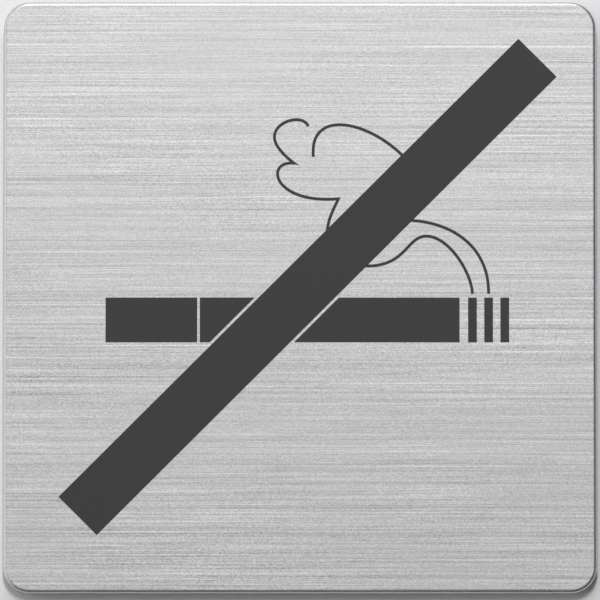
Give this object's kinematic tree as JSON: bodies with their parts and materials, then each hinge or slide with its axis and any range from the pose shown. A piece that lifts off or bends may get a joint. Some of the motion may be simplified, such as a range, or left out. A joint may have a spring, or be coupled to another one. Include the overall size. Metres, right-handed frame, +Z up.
{
  "type": "no smoking sign",
  "caption": "Square self-adhesive no smoking sign: brushed steel plate with a printed cigarette, smoke and diagonal bar.",
  "frame": {"origin": "centre of the adhesive pad's wall side, where the sign meets the wall", "axes": "+Z up; +Y out of the back into the wall, so the printed face looks towards -Y; +X to the right for someone reading the sign"},
  "size_m": [0.09, 0.0026, 0.09],
  "materials": {
    "steel": "level brushed grain",
    "ink": "matt dark grey screen print",
    "foam": "closed-cell foam with a tacky adhesive skin"
  },
  "bodies": {
    "root": {"face_plate": "steel", "adhesive_pad": "foam", "ink_bar": "ink", "ink_filter": "ink", "ink_body_left": "ink", "ink_body_right": "ink", "ink_ember_1": "ink", "ink_ember_2": "ink", "ink_ember_3": "ink", "ink_smoke_outer": "ink", "ink_smoke_inner": "ink", "ink_smoke_dome": "ink", "ink_smoke_curl": "ink"}
  },
  "joints": []
}
